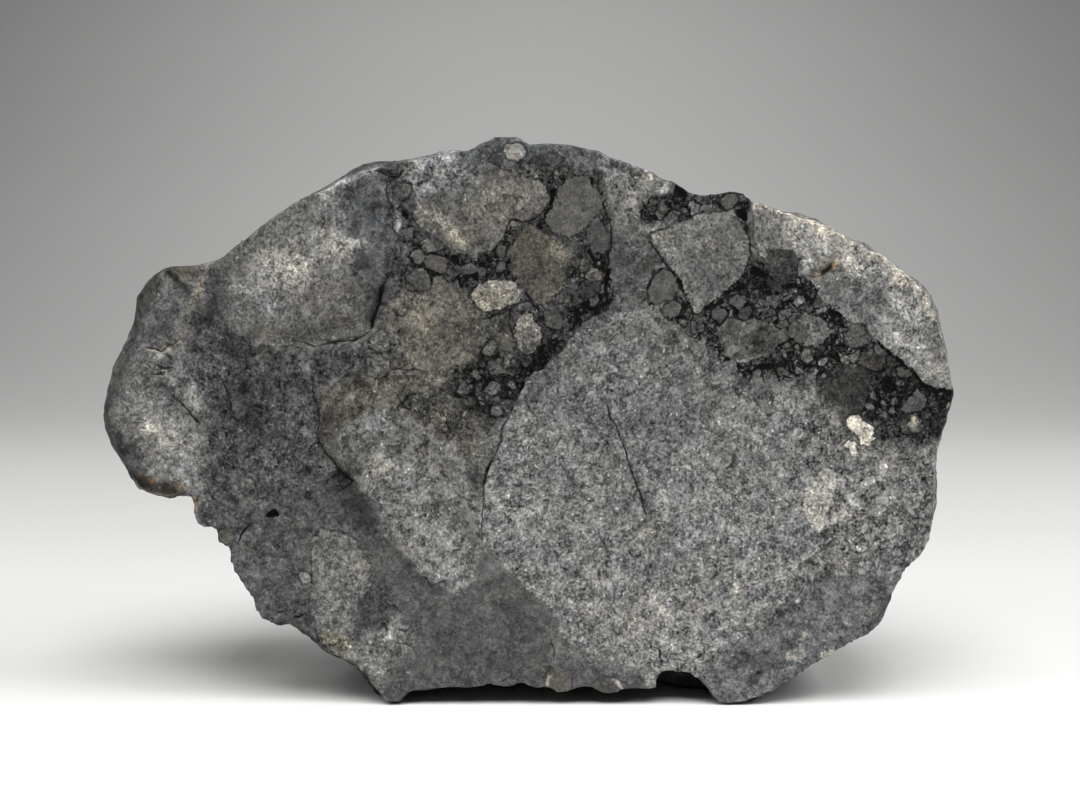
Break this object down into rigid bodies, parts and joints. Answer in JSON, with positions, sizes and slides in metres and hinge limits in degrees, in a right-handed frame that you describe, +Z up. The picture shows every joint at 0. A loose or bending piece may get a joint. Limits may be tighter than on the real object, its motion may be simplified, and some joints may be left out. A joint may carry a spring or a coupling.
{
  "type": "eucrite meteorite slice",
  "caption": "Thick sawn slice of a brecciated stony meteorite: flat sawn faces with angular clasts and dark melt veins, and a natural weathered rim.",
  "frame": {"origin": "on the surface that the slice stands on, under the middle of its bounding box", "axes": "+X along the slice to the right of its front sawn face, +Y from the front sawn face to the back one, +Z up"},
  "size_m": [0.0556, 0.01, 0.0366],
  "materials": {
    "breccia": "sawn and matt on the faces, weathered on the rim"
  },
  "bodies": {
    "root": {"meteorite_slice": "breccia"}
  },
  "joints": []
}
